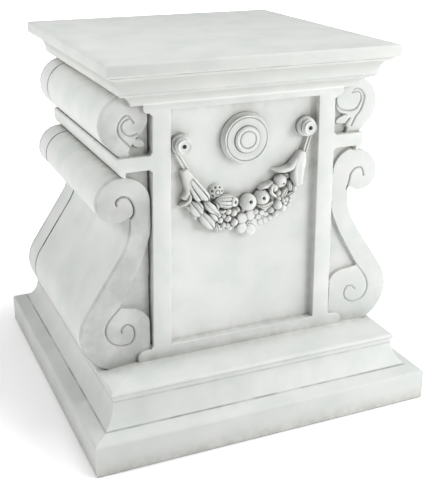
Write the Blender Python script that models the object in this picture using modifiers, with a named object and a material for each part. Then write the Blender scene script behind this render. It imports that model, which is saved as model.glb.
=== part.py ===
"""Garden statue plinth cast in one piece: square base, scroll consoles, garland panel, moulded cap.

Blender metres, +Z up, the garland side facing -Y. The origin is on the ground under the centre.
Named sizes are in millimetres. A front outline is drawn in X and Z and reaches from front to back.
"""
import math

import bmesh
import bpy
from mathutils import Matrix, Vector

MM = 0.001

# Base, tier and core: half-widths of the square plan at a height
HEIGHT = 450
BASE_HALF = 218
BASE_TOP = 38
BASE_ROUND = 4
FOOT_HALF = 202
FOOT_Z = 43.5
NECK_HALF = 185.8
NECK_Z = 72
TIER_HALF = 188
TIER_Z = 81.5
SHELF_HALF = 137
SHELF_Z = 88.5
CORE_HALF = 112

# Cap: slab, cove, lip and bed moulding
CAP_HALF = 176
CAP_UNDER = 435.4
CAP_ROUND = 3
COVE_HALF = 168
COVE_TOP = 431.3
LIP_HALF = 157.6
LIP_Z = 413.5
BED_TOP_HALF = 154.5
BED_TOP_Z = 411.2
BED_HALF = 139.2
BED_Z = 397.3

# Depths from the middle of the piece to each front plane
PLATE_DEPTH = 138.2
CONSOLE_DEPTH = 134
PANEL_DEPTH = 128
GROUND_DEPTH = 129
SLOT_DEPTH = 119
CUT_DEPTH = 150
ROOT_DEPTH = 125

# Framed plate on the front and back, with its cross arms
STRIP_TOP_HALF = 114.2
STRIP_LOW_HALF = 119.2
EAR_TOP_HALF = 124.8
EAR_TOP_Z = 388
EAR_LOW_HALF = 138.4
EAR_LOW_Z = 102.3
ARM_LOW = 324.5
ARM_TOP = 340.8
ROLL_HALF = 156.4
PANEL_TOP = 390.3
PANEL_LOW = 104
PANEL_TOP_HALF = 92.8
PANEL_LOW_HALF = 96.6
FILLET = 2.5

# Upper console: a drum that runs down into a straight tail
DRUM_X, DRUM_Z, DRUM_R = 141.7, 376, 32
TAIL_X, TAIL_Z = 152.3, 341.4

# Scroll console: upper volute, slanting body and lower belly
VOLUTE_X, VOLUTE_Z, VOLUTE_R = 151, 288, 30
CURL_X, CURL_R = 159, 22
CUSP_X, CUSP_Z = 141, 270.8
BACK_X, BACK_Z, BACK_R = 221, 265.8, 80
BELLY_X, BELLY_Z, BELLY_R = 158.2, 130, 48
INNER_X, INNER_Z, INNER_R = 151, 284, 34
SLOPE_X, SLOPE_Z, SLOPE_R = 212, 265, 95
DISC_X, DISC_Z, DISC_R = 150, 130, 30
HIDDEN_X = 104
SLOT_WIDE = 3.8
SLOT_LOW_WIDE = 2.2

# Carved lines, and the groove round both consoles near the back
LINE_R = 1.8
LINE_OUT = 0.4
EYE_X, EYE_Z, EYE_R = 151.2, 285, 10.3
SEAM_Y = 93
SEAM_R = 1.7

# Boss, and the ring knobs with a pair of thin rods down to the necks of the bell-flowers
BOSS_Z = 348
KNOB_X = {-1: -81, 1: 80}
KNOB_Z = {-1: 349.5, 1: 354}
NECK_AT = {-1: (-75, 317), 1: (75.5, 323)}
ROD_R = 1.7
ROD_SPREAD = 3.8
ROD_DEPTH = 132

# Garland: x, z, radius of each fruit and berry
APPLES = [(1.5, 272, 10.4), (20.8, 274.2, 10.2), (47, 291, 8.6), (54, 297.5, 4.4)]
MELON = (-24, 274.3, 14.5, 9.2)
DAISY = (-40, 288.5, 9)
BERRIES = [
    (-22.5, 252.5, 4.2), (-14.8, 248, 4), (-21, 240.8, 4.4), (-29.3, 249.8, 4.2),
    (-28.8, 240, 4), (-34.3, 258.5, 4), (-24, 262, 4), (-15.6, 260, 4), (-37, 248, 3.8),
    (23, 241.5, 3.8), (33, 244.5, 3.8), (40.5, 250.5, 4), (49, 256, 4.2), (19.5, 235.5, 3.4),
    (-8.5, 255.5, 3.6), (36, 265, 4), (46, 268, 4.2), (32, 256, 4),
]

# Blossoms: x, z, reach of the petals, number of petals and turn
BLOSSOMS = [(0.5, 243.5, 9.6, 5, 18), (12.5, 251.5, 8.4, 5, 60), (27, 250, 5.6, 4, 20),
            (57, 264.5, 5, 4, 30)]

# Leaves and petals: start x and z, tip x and z, width, sideways bow and depth of the front
LEAVES = [
    (-71, 277, -59, 265, 11, 0, 136), (-59, 284, -53, 266, 9.5, 1, 138),
    (-62, 266, -60.2, 252.5, 5, 0, 134), (-56, 281, -32, 263, 8.5, -1.5, 140),
    (-55, 267, -41, 242.5, 11.5, -1.5, 137), (-41, 243, -36.5, 232.5, 5, 0, 134),
    (18, 286, 36, 291.5, 6.5, 1, 136), (34, 293, 35, 275.5, 4.6, -4, 140),
    (55, 282.5, 46.5, 270.5, 6.5, 0, 137), (56, 267, 69, 272.5, 5.4, 0, 133),
    (26, 265, 42, 272, 5.5, -2, 136), (-13, 264, -8, 255, 6, 0, 135),
]
GARLAND_BED = (-64, 276, 64, 274, 27, -27, 131.5)
BELLS = [
    (-75, 322, -67, 287, 15.5, 0, 139), (-74, 316, -50.2, 279.6, 18.5, 0, 142),
    (-74, 311, -84.4, 276.4, 11, 6, 137),
    (75.5, 328, 70, 294, 16.5, 0, 140), (75, 322, 72.6, 279.5, 19.5, 1, 142),
    (72, 318.5, 31.8, 308.4, 10, 4, 139),
]


def arc(cx, cz, rx, rz, start, end, steps):
    """Points of an elliptical arc, with its angles in degrees from +X toward +Z."""
    points = []
    for i in range(steps + 1):
        angle = math.radians(start + (end - start) * i / steps)
        points.append((cx + rx * math.cos(angle), cz + rz * math.sin(angle)))
    return points


def bow(start, end, rise, steps):
    """Points of a circular arc from start to end that swells by rise to the left of its way."""
    a, b = Vector(start), Vector(end)
    half = (b - a) / 2
    left = Vector((-half.y, half.x)).normalized()
    radius = (half.length_squared + rise * rise) / (2 * abs(rise))
    side = math.copysign(1, rise)
    centre = (a + b) / 2 + left * (rise - side * radius)
    sweep = 2 * math.asin(min(1, half.length / radius))
    points = []
    for i in range(steps + 1):
        turn = Matrix.Rotation(-side * sweep * i / steps, 2)
        points.append(tuple(centre + turn @ (a - centre)))
    return points


def both_sides(right_half):
    """A closed outline from its right half."""
    return right_half + [(-x, z) for x, z in reversed(right_half)]


def make_collection(name):
    collection = bpy.data.collections.new(name)
    bpy.context.scene.collection.children.link(collection)
    return collection


def add_object(name, mesh, collection):
    obj = bpy.data.objects.new(name, mesh)
    collection.objects.link(obj)
    if collection.name != "plinth":
        obj.hide_render = True
        obj.display_type = "WIRE"
    return obj


def from_bmesh(name, bm, collection, scale=MM):
    """Weld a bmesh drawn in millimetres and make an object of it."""
    bmesh.ops.scale(bm, verts=bm.verts, vec=(scale, scale, scale))
    bmesh.ops.remove_doubles(bm, verts=bm.verts, dist=0.00001)
    bmesh.ops.recalc_face_normals(bm, faces=bm.faces)
    mesh = bpy.data.meshes.new(name)
    bm.to_mesh(mesh)
    bm.free()
    return add_object(name, mesh, collection)


def curve_solid(name, curve, place=Matrix.Identity(4)):
    """Turn curve data into a welded blank whose flat faces are whole."""
    obj = bpy.data.objects.new(name, curve)
    obj.matrix_world = place
    BLANKS.objects.link(obj)
    bpy.context.view_layer.update()
    evaluated = obj.evaluated_get(bpy.context.evaluated_depsgraph_get())
    mesh = bpy.data.meshes.new_from_object(evaluated)
    bm = bmesh.new()
    bm.from_mesh(mesh)
    bm.transform(obj.matrix_world)
    bmesh.ops.remove_doubles(bm, verts=bm.verts, dist=0.00001)
    bmesh.ops.dissolve_limit(bm, angle_limit=math.radians(0.4), verts=bm.verts, edges=bm.edges)
    bpy.data.meshes.remove(mesh)
    bpy.data.objects.remove(obj)
    return from_bmesh(name, bm, BLANKS, 1)


def prism(name, outline, depth_from, depth_to):
    """A flat outline in X and Z that reaches between two places along Y."""
    curve = bpy.data.curves.new(name, "CURVE")
    curve.dimensions = "2D"
    curve.fill_mode = "BOTH"
    curve.extrude = abs(depth_to - depth_from) / 2 * MM
    spline = curve.splines.new("POLY")
    spline.points.add(len(outline) - 1)
    for point, (x, z) in zip(spline.points, outline):
        point.co = (x * MM, z * MM, 0, 1)
    spline.use_cyclic_u = True
    middle = (depth_from + depth_to) / 2 * MM
    stand = Matrix.Translation((0, middle, 0)) @ Matrix.Rotation(math.radians(90), 4, "X")
    return curve_solid(name, curve, stand)


def tube(name, line, depth, radius, roundness=0):
    """A round bar along points in X and Z, at one depth toward the viewer."""
    curve = bpy.data.curves.new(name, "CURVE")
    curve.dimensions = "3D"
    curve.bevel_depth = radius * MM
    curve.bevel_resolution = roundness
    curve.use_fill_caps = True
    spline = curve.splines.new("POLY")
    spline.points.add(len(line) - 1)
    for point, (x, z) in zip(spline.points, line):
        point.co = (x * MM, -depth * MM, z * MM, 1)
    return curve_solid(name, curve)


def mirror(obj, x=False, y=False):
    modifier = obj.modifiers.new("Mirror", "MIRROR")
    modifier.use_axis = (x, y, False)
    modifier.use_mirror_merge = False
    return obj


def weld(obj):
    modifier = obj.modifiers.new("Weld", "WELD")
    modifier.merge_threshold = 0.00003
    return obj


def combine(target, operand, operation="UNION"):
    modifier = target.modifiers.new(operand.name, "BOOLEAN")
    modifier.operation = operation
    modifier.solver = "EXACT"
    modifier.object = operand


def turned(name, profile, x, z, steps):
    """Turn (radius, depth) points about an axis toward the viewer."""
    bm = bmesh.new()
    verts = [bm.verts.new((radius, -depth, 0)) for radius, depth in profile]
    edges = [bm.edges.new(pair) for pair in zip(verts, verts[1:])]
    bmesh.ops.spin(bm, geom=verts + edges, cent=(0, 0, 0), axis=(0, 1, 0), angle=2 * math.pi,
                   steps=steps, use_merge=True)
    bmesh.ops.translate(bm, verts=bm.verts, vec=(x, 0, z))
    return from_bmesh(name, bm, BLANKS)


def make_mouldings():
    """Base, tier, core and cap: one profile turned in four steps, so it has square corners."""
    profile = [(0, HEIGHT)]
    profile += arc(CAP_HALF - CAP_ROUND, HEIGHT - CAP_ROUND, CAP_ROUND, CAP_ROUND, 90, 0, 3)
    profile += arc(CAP_HALF - CAP_ROUND, CAP_UNDER + CAP_ROUND, CAP_ROUND, CAP_ROUND, 0, -90, 3)
    profile += [(COVE_HALF + 2, CAP_UNDER - 0.6)]
    profile += arc(COVE_HALF, LIP_Z, COVE_HALF - LIP_HALF, COVE_TOP - LIP_Z, 90, 180, 6)
    profile += [(LIP_HALF, LIP_Z - 1.6)]
    profile += bow((BED_TOP_HALF, BED_TOP_Z), (BED_HALF, BED_Z + 1.2), -2.6, 5)
    profile += [(BED_HALF, BED_Z), (CORE_HALF, BED_Z - 0.4), (CORE_HALF, SHELF_Z + 2)]
    profile += [(SHELF_HALF, SHELF_Z), (TIER_HALF - 4, TIER_Z + 2.6)]
    profile += [(TIER_HALF - 0.8, TIER_Z + 1.2), (TIER_HALF, TIER_Z - 0.4)]
    profile += bow((TIER_HALF - 0.4, TIER_Z - 2), (NECK_HALF, NECK_Z), -0.6, 2)
    profile += bow((NECK_HALF, NECK_Z), (FOOT_HALF, FOOT_Z), -3, 6)[1:]
    profile += arc(BASE_HALF - BASE_ROUND, BASE_TOP - BASE_ROUND / 2, BASE_ROUND, BASE_ROUND,
                   75, 0, 3)
    profile += [(BASE_HALF, 1), (BASE_HALF - 1, 0), (0, 0)]

    mesh = bpy.data.meshes.new("plinth")
    verts = [(half * MM, half * MM, z * MM) for half, z in profile]
    mesh.from_pydata(verts, [(i, i + 1) for i in range(len(verts) - 1)], [])
    plinth = add_object("plinth", mesh, PLINTH)
    screw = plinth.modifiers.new("Square turning", "SCREW")
    screw.axis = "Z"
    screw.steps = 4
    screw.render_steps = 4
    screw.use_merge_vertices = True
    screw.merge_threshold = 0.0001
    screw.use_smooth_shade = False
    return plinth


def round_arc(x, z, radius, start, end, steps):
    return arc(x, z, radius, radius, start, end, steps)


def drum_line(out=0.0):
    return round_arc(DRUM_X, DRUM_Z, DRUM_R + out, 80, -45, 12)


def volute_line(out=0.0):
    return (round_arc(VOLUTE_X, VOLUTE_Z, VOLUTE_R + out, 96, 0, 9)
            + round_arc(CURL_X, VOLUTE_Z, CURL_R + out, 0, -130, 10)[1:])


def belly_line(out=0.0):
    return (round_arc(BACK_X, BACK_Z, BACK_R - out, 180, 214, 6)
            + round_arc(BELLY_X, BELLY_Z, BELLY_R + out, 34, -68, 11))


def disc_line():
    return arc(DISC_X, DISC_Z, DISC_R, DISC_R, 62, 170, 9)


def make_upper_console():
    """Right-hand drum and tail: small leaf, two curled lines and a deep slot beside the plate."""
    outline = [(HIDDEN_X, TAIL_Z - 8), (HIDDEN_X, BED_Z + 5), (140, BED_Z + 8)]
    outline += drum_line() + [(TAIL_X, TAIL_Z), (TAIL_X - 5, TAIL_Z - 8)]
    console = prism("upper console", outline, -CONSOLE_DEPTH, CONSOLE_DEPTH)

    ground = [(HIDDEN_X, 388.5), (117.4, 388.5)]
    ground += bow((118.6, 385), (131, 365.4), -2.8, 4)
    ground += bow((129, 361.4), (122.8, 352), -1.4, 3)
    ground += bow((122.8, 352), (137.6, 356.5), -3.8, 4)[1:]
    ground += [(140.2, 350.4), (141.6, ARM_TOP - 4), (HIDDEN_X, ARM_TOP - 4)]
    sunk = prism("leaf ground", ground, -CUT_DEPTH, -GROUND_DEPTH)
    combine(console, mirror(sunk, y=True), "DIFFERENCE")
    edge = STRIP_TOP_HALF + SLOT_WIDE
    slot = [(HIDDEN_X, EAR_TOP_Z), (edge, EAR_TOP_Z), (edge, ARM_TOP - 4), (HIDDEN_X, ARM_TOP - 4)]
    combine(console, mirror(prism("upper slot", slot, -CUT_DEPTH, -SLOT_DEPTH), y=True), "DIFFERENCE")

    outer = arc(143, 379, 12, 12, 112, -38, 7) + bow((149.4, 364), (139.8, 349.6), -1.2, 2)
    inner = arc(140.4, 376.8, 10, 10, 108, -112, 8) + [(128, 369.2), (120.4, 375.6)]
    for name, line in (("outer curl", outer), ("inner curl", inner)):
        groove = tube(name, line, CONSOLE_DEPTH + LINE_OUT, LINE_R)
        combine(console, mirror(groove, y=True), "DIFFERENCE")
    seam = drum_line(LINE_OUT) + [(TAIL_X, TAIL_Z)]
    combine(console, tube("upper seam", seam, -SEAM_Y, SEAM_R), "DIFFERENCE")
    return mirror(weld(console), x=True)


def make_scroll_console():
    """Right-hand scroll: low ground, a deep slot beside the plate and carved lines in both volutes."""
    outline = [(HIDDEN_X, SHELF_Z - 8), (HIDDEN_X, ARM_LOW + 7), (VOLUTE_X - 5, ARM_LOW + 7)]
    outline += volute_line() + [(CUSP_X, CUSP_Z)] + belly_line()
    outline += [(BELLY_X + 8, SHELF_Z - 8)]
    console = prism("scroll console", outline, -CONSOLE_DEPTH, CONSOLE_DEPTH)

    eye = [(CUSP_X - 0.6, CUSP_Z + 2)]
    eye += arc(EYE_X, EYE_Z, EYE_R, EYE_R, 180, 0, 8) + [(EYE_X + EYE_R - 0.4, EYE_Z - 3)]
    spiral = bow((159, 130), (147.5, 136.4), -3.6, 3)
    spiral += bow((147.5, 136.4), (145, 119.5), -3.2, 3)[1:]
    spiral += bow((145, 119.5), (165, 112.2), -3, 3)[1:]
    spiral += bow((165, 112.2), (178.3, 128), -4, 3)[1:]
    spiral += bow((178.3, 128), (164.5, 158), -2.2, 4)[1:]
    for name, line in (("volute eye", eye), ("belly spiral", spiral)):
        groove = tube(name, line, CONSOLE_DEPTH + LINE_OUT, LINE_R)
        combine(console, mirror(groove, y=True), "DIFFERENCE")

    top = ARM_LOW + 3
    low = EAR_LOW_Z + 4
    ground = [(HIDDEN_X, top), (VOLUTE_X - 4, top)]
    ground += arc(INNER_X, INNER_Z, INNER_R, INNER_R, 97, 180, 8)
    ground += arc(SLOPE_X, SLOPE_Z, SLOPE_R, SLOPE_R, 180, 213, 5) + disc_line()
    ground += [(HIDDEN_X, DISC_Z)]
    sunk = prism("scroll ground", ground, -CUT_DEPTH, -GROUND_DEPTH)
    combine(console, mirror(sunk, y=True), "DIFFERENCE")
    slot = [(HIDDEN_X, top), (STRIP_TOP_HALF + SLOT_WIDE, top), (STRIP_LOW_HALF + SLOT_LOW_WIDE, low),
            (HIDDEN_X, low)]
    combine(console, mirror(prism("scroll slot", slot, -CUT_DEPTH, -SLOT_DEPTH), y=True), "DIFFERENCE")
    for name, line in (("volute seam", volute_line(LINE_OUT)), ("belly seam", belly_line(LINE_OUT))):
        combine(console, tube(name, line, -SEAM_Y, SEAM_R), "DIFFERENCE")
    return mirror(weld(console), x=True)


def plate_outline():
    """Framed plate with quarter-round ears, cross arms and rolled arm ends."""
    batter = (STRIP_LOW_HALF - STRIP_TOP_HALF) / (EAR_TOP_Z - EAR_LOW_Z)
    under_arm = STRIP_LOW_HALF - batter * (ARM_LOW - EAR_LOW_Z)
    over_arm = STRIP_LOW_HALF - batter * (ARM_TOP - EAR_LOW_Z)
    right = [(EAR_LOW_HALF, SHELF_Z - 4)]
    right += arc(EAR_LOW_HALF - 11, EAR_LOW_Z - 8, 11, 8, 0, 90, 4)
    right += [(STRIP_LOW_HALF + FILLET, EAR_LOW_Z + 0.3), (STRIP_LOW_HALF, EAR_LOW_Z + FILLET)]
    right += [(under_arm, ARM_LOW - FILLET), (under_arm + FILLET, ARM_LOW - 0.3)]
    right += [(VOLUTE_X - 4.5, ARM_LOW), (VOLUTE_X - 4.5, VOLUTE_Z + VOLUTE_R + 0.6)]
    right += arc(145.4, 331, ROLL_HALF - 145.4, 12.6, -70, 0, 5)
    right += arc(ROLL_HALF - 3, ARM_TOP - 3, 3, 3, 0, 90, 3)
    right += [(over_arm + FILLET, ARM_TOP + 0.3), (over_arm, ARM_TOP + FILLET)]
    right += [(STRIP_TOP_HALF, EAR_TOP_Z - FILLET), (STRIP_TOP_HALF + FILLET, EAR_TOP_Z - 0.3)]
    right += arc(EAR_TOP_HALF - 6, EAR_TOP_Z + 6, 6, 6, -90, 0, 4)
    right += [(EAR_TOP_HALF, BED_Z + 4)]
    return both_sides(right)


def make_plate():
    plate = prism("plate", plate_outline(), -PLATE_DEPTH, PLATE_DEPTH)
    window = both_sides([(PANEL_LOW_HALF, PANEL_LOW), (PANEL_TOP_HALF, PANEL_TOP)])
    combine(plate, mirror(prism("panel", window, -CUT_DEPTH, -PANEL_DEPTH), y=True), "DIFFERENCE")
    return plate


def make_boss():
    """Stepped round boss with a thin line inside its rim."""
    face = PANEL_DEPTH + 9
    profile = [(0, ROOT_DEPTH), (30.4, ROOT_DEPTH), (30, PANEL_DEPTH + 2), (28.6, face - 1.2),
               (27.6, face), (26.2, face), (25.4, face - 1), (24.6, face), (15.4, face),
               (14.8, face + 2.6), (14, face + 2.9), (10.2, face + 2.9), (9.6, face + 1.9),
               (9, face + 2.9), (0, face + 3.3)]
    return turned("boss", profile, 0, BOSS_Z, 32)


def make_knob(side):
    """Ring knob: a wide collar, a narrower face and a hole in it."""
    profile = [(0, ROOT_DEPTH), (11.6, ROOT_DEPTH), (11.4, ROOT_DEPTH + 12),
               (10.2, ROOT_DEPTH + 14), (8.8, ROOT_DEPTH + 14.6), (8.6, ROOT_DEPTH + 20),
               (7.4, ROOT_DEPTH + 21.4), (3.4, ROOT_DEPTH + 21.8), (2.4, ROOT_DEPTH + 20.8),
               (2.2, ROOT_DEPTH + 17), (0, ROOT_DEPTH + 16.6)]
    return turned("knob %+d" % side, profile, KNOB_X[side], KNOB_Z[side], 14)


def make_rods(side):
    """Two thin rods from the knob down to the neck of the flower."""
    top = Vector((KNOB_X[side] + side * 2, KNOB_Z[side] - 6))
    foot = Vector(NECK_AT[side])
    way = (foot - top).normalized()
    across = Vector((-way.y, way.x)) * ROD_SPREAD / 2
    return [tube("rod %+d" % side, [tuple(top + across * end), tuple(foot + across * end)],
                 ROD_DEPTH, ROD_R, 1) for end in (-1, 1)]


def leaf(x0, z0, x1, z1, width, bend, front, sides=6, rings=5):
    """A pointed leaf: a sphere whose axis follows a bow and whose girth swells near its start."""
    bm = bmesh.new()
    bmesh.ops.create_uvsphere(bm, u_segments=sides, v_segments=rings, radius=1)
    start, tip = Vector((x0, z0)), Vector((x1, z1))
    way = tip - start
    across = Vector((-way.y, way.x)).normalized()
    middle = (front + ROOT_DEPTH) / 2
    for vert in bm.verts:
        share = (vert.co.z + 1) / 2
        girth = math.sin(math.pi * min(1, max(0, share)) ** 0.75)
        around = vert.co.xy.normalized() if girth > 0.001 else Vector((0, 0))
        spot = start + way * share + across * bend * 4 * share * (1 - share)
        spot += across * around.x * girth * width / 2
        vert.co = (spot.x, -middle - around.y * girth * (front - middle), spot.y)
    return from_bmesh("leaf", bm, GARLAND)


def ball(name, x, z, depth, size, turn=0, sides=6, rings=4):
    """An egg of half-sizes (along, toward the viewer, across) turned in X and Z by degrees."""
    bm = bmesh.new()
    bmesh.ops.create_uvsphere(bm, u_segments=sides, v_segments=rings, radius=1)
    along, toward, across = size
    bmesh.ops.scale(bm, verts=bm.verts, vec=(across, toward, along))
    spin = Matrix.Rotation(math.radians(90 - turn), 3, "Y")
    bmesh.ops.rotate(bm, verts=bm.verts, cent=(0, 0, 0), matrix=spin)
    bmesh.ops.translate(bm, verts=bm.verts, vec=(x, -depth, z))
    return from_bmesh(name, bm, GARLAND)


def apple(x, z, radius):
    """A round fruit that faces the viewer with a dimple."""
    bm = bmesh.new()
    bmesh.ops.create_uvsphere(bm, u_segments=10, v_segments=8, radius=radius)
    top = max(bm.verts, key=lambda vert: vert.co.z)
    top.co.z -= 0.3 * radius
    tip = Matrix.Rotation(math.radians(90), 3, "X")
    bmesh.ops.rotate(bm, verts=bm.verts, cent=(0, 0, 0), matrix=tip)
    bmesh.ops.translate(bm, verts=bm.verts, vec=(x, -PANEL_DEPTH - 0.6 * radius, z))
    return from_bmesh("apple", bm, GARLAND)


def make_garland():
    """Fruit, blossoms, berries, leaves and the two bell-flowers, all on one low bed."""
    leaf(*GARLAND_BED, sides=6, rings=9)
    for row in APPLES:
        apple(*row)
    x, z, length, girth = MELON
    ball("melon", x, z, PANEL_DEPTH + 5.5, (length, girth, girth), 0, 10, 7)
    ball("melon crown", x + length * 0.52, z, PANEL_DEPTH + 12, (4.6, 3, 4.6))
    x, z, reach = DAISY
    ball("daisy", x, z, PANEL_DEPTH - 1, (reach, 8, reach), 5, 10, 5)
    for x, z, radius in BERRIES:
        ball("berry", x, z, PANEL_DEPTH + 0.9 * radius, (radius, 1.25 * radius, radius), 30)
    for x, z, reach, petals, turn in BLOSSOMS:
        for i in range(petals):
            angle = math.radians(turn + 360 / petals * i)
            ball("petal", x + reach * 0.6 * math.cos(angle), z + reach * 0.6 * math.sin(angle),
                 PANEL_DEPTH + 4 + 0.4 * i, (reach * 0.5, 6, reach * 0.4), math.degrees(angle))
    for row in LEAVES:
        leaf(*row)
    for row in BELLS:
        leaf(*row, sides=8, rings=6)


def stone_material():
    material = bpy.data.materials.new("aged white cast stone")
    material.use_nodes = True
    shader = material.node_tree.nodes["Principled BSDF"]
    shader.inputs["Base Color"].default_value = (0.76, 0.76, 0.73, 1)
    shader.inputs["Roughness"].default_value = 0.85
    return material


def build_plinth():
    plinth = make_mouldings()
    for piece in (make_upper_console(), make_scroll_console(), make_plate(), make_boss()):
        combine(plinth, piece)
    for side in (-1, 1):
        combine(plinth, make_knob(side))
        for rod in make_rods(side):
            combine(plinth, rod)
    make_garland()
    carving = plinth.modifiers.new("Garland", "BOOLEAN")
    carving.operation = "UNION"
    carving.solver = "MANIFOLD"
    carving.operand_type = "COLLECTION"
    carving.collection = GARLAND
    weld(plinth)
    plinth.data.materials.append(stone_material())


for existing in list(bpy.data.objects):
    bpy.data.objects.remove(existing)
PLINTH = make_collection("plinth")
BLANKS = make_collection("blanks")
GARLAND = make_collection("garland blanks")
build_plinth()
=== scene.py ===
# %% [markdown]
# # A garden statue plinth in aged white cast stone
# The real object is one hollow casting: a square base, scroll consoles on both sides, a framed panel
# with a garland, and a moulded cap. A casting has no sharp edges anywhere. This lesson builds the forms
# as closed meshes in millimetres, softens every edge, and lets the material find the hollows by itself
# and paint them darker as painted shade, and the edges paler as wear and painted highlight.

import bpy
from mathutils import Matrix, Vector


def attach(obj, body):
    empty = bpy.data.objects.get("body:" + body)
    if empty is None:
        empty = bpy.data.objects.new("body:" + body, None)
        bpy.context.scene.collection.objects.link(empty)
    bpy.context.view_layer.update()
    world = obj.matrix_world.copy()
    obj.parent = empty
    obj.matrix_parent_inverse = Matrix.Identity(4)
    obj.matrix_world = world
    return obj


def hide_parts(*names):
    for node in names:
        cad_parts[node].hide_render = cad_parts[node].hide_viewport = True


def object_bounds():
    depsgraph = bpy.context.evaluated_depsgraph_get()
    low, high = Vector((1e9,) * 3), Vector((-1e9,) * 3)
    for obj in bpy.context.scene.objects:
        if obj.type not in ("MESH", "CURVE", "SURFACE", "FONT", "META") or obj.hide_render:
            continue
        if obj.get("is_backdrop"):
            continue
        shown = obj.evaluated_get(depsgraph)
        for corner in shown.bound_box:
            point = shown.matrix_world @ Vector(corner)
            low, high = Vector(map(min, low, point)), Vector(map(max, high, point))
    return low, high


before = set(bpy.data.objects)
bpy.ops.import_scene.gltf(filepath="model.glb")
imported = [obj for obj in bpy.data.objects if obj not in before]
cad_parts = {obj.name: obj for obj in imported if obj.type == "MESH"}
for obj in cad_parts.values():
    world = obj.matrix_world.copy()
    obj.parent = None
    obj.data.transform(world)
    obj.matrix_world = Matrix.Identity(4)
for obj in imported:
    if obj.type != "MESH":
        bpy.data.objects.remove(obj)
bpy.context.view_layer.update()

# %% Modules and units
import math

import bmesh
import bpy
from mathutils import Matrix, Vector
from mathutils.kdtree import KDTree

MM = 0.001
PIECES = []


# %% [markdown]
# ## The camera
# The photograph was taken from the left of the front, looking a little down. A camera looks along its
# own -Z, so its turn is built from the direction that it looks in, and the small roll is added last.

# %% Camera
CAMERA_AT = Vector((-0.4318, -1.0326, 0.6109))
LOOKS_RIGHT = math.radians(23.72)
LOOKS_DOWN = math.radians(21.30)
ROLL = math.radians(0.22)
FOCAL_PX = 893.0
PICTURE_TALL_PX = 480
SENSOR = 36

camera = bpy.data.objects.new("camera", bpy.data.cameras.new("camera"))
bpy.context.scene.collection.objects.link(camera)
looks = Vector((math.sin(LOOKS_RIGHT) * math.cos(LOOKS_DOWN),
                math.cos(LOOKS_RIGHT) * math.cos(LOOKS_DOWN), -math.sin(LOOKS_DOWN)))
camera.location = CAMERA_AT
camera.rotation_mode = "QUATERNION"
camera.rotation_quaternion = looks.to_track_quat("-Z", "Y") @ Matrix.Rotation(ROLL, 3, "Z").to_quaternion()
camera.data.sensor_width = SENSOR
camera.data.lens = FOCAL_PX / PICTURE_TALL_PX * SENSOR
bpy.context.scene.camera = camera
print("lens", round(camera.data.lens, 2), "mm on a", SENSOR, "mm sensor")


# %% [markdown]
# ## Drawing helpers
# Outlines are drawn in X and Z, in millimetres, from arcs. `bow` is an arc given by its two ends and
# how far it swells, which suits carved curves that were drawn.

# %% Arcs and outlines
def arc(cx, cz, rx, rz, start, end, steps):
    """Points of an elliptical arc, with its angles in degrees from +X toward +Z."""
    points = []
    for i in range(steps + 1):
        angle = math.radians(start + (end - start) * i / steps)
        points.append((cx + rx * math.cos(angle), cz + rz * math.sin(angle)))
    return points


def bow(start, end, rise, steps):
    """Points of a circular arc from start to end that swells by rise to the left of its way."""
    a, b = Vector(start), Vector(end)
    half = (b - a) / 2
    left = Vector((-half.y, half.x)).normalized()
    radius = (half.length_squared + rise * rise) / (2 * abs(rise))
    side = math.copysign(1, rise)
    centre = (a + b) / 2 + left * (rise - side * radius)
    sweep = 2 * math.asin(min(1, half.length / radius))
    return [tuple(centre + Matrix.Rotation(-side * sweep * i / steps, 2) @ (a - centre))
            for i in range(steps + 1)]


def along(rows, i, t):
    """Smooth values at a share t of the way from row i to the next, as a Catmull-Rom curve."""
    a, b, c, d = [Vector(rows[min(max(k, 0), len(rows) - 1)]) for k in (i - 1, i, i + 1, i + 2)]
    bend = 2 * a - 5 * b + 4 * c - d
    return 0.5 * (2 * b + (c - a) * t + bend * t ** 2 + (3 * b - a - 3 * c + d) * t ** 3)


def through(points, steps=6):
    """A smooth line through a few drawn points."""
    line = [tuple(along(points, i, k / steps)) for i in range(len(points) - 1) for k in range(steps)]
    return line + [tuple(points[-1])]


def both_sides(right_half):
    """A closed outline from its right half."""
    return right_half + [(-x, z) for x, z in reversed(right_half)]


# %% [markdown]
# ## From drawn points to pieces
# Every form starts as points in millimetres. The helpers below weld them and turn the faces outward, fuse
# overlapping forms into one skin of small voxels, push an outline to a depth and spin a profile. Two of
# them note where shade is painted, as a number on each point that the material reads later.

# %% Meshes into pieces
def to_object(name, bm, scale=MM):
    """Weld a bmesh drawn in millimetres, turn its faces outward and make an object of it."""
    bmesh.ops.scale(bm, verts=bm.verts, vec=(scale, scale, scale))
    bmesh.ops.remove_doubles(bm, verts=bm.verts, dist=0.00002)
    bmesh.ops.recalc_face_normals(bm, faces=bm.faces)
    mesh = bpy.data.meshes.new(name)
    bm.to_mesh(mesh)
    bm.free()
    obj = bpy.data.objects.new(name, mesh)
    bpy.context.scene.collection.objects.link(obj)
    return obj


def finished(obj, smooth_under=35):
    """Shade a piece, let it stand for the casting and print its size in triangles."""
    obj.data.shade_smooth()
    obj.data.set_sharp_from_angle(angle=math.radians(smooth_under))
    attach(obj, "root")
    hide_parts("plinth")
    PIECES.append(obj)
    triangles = sum(len(face.vertices) - 2 for face in obj.data.polygons)
    print(obj.name, triangles, "triangles")


def with_modifiers(obj):
    """Work out the modifiers of a piece for good."""
    graph = bpy.context.evaluated_depsgraph_get()
    mesh = bpy.data.meshes.new_from_object(obj.evaluated_get(graph))
    obj.modifiers.clear()
    obj.data = mesh


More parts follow.
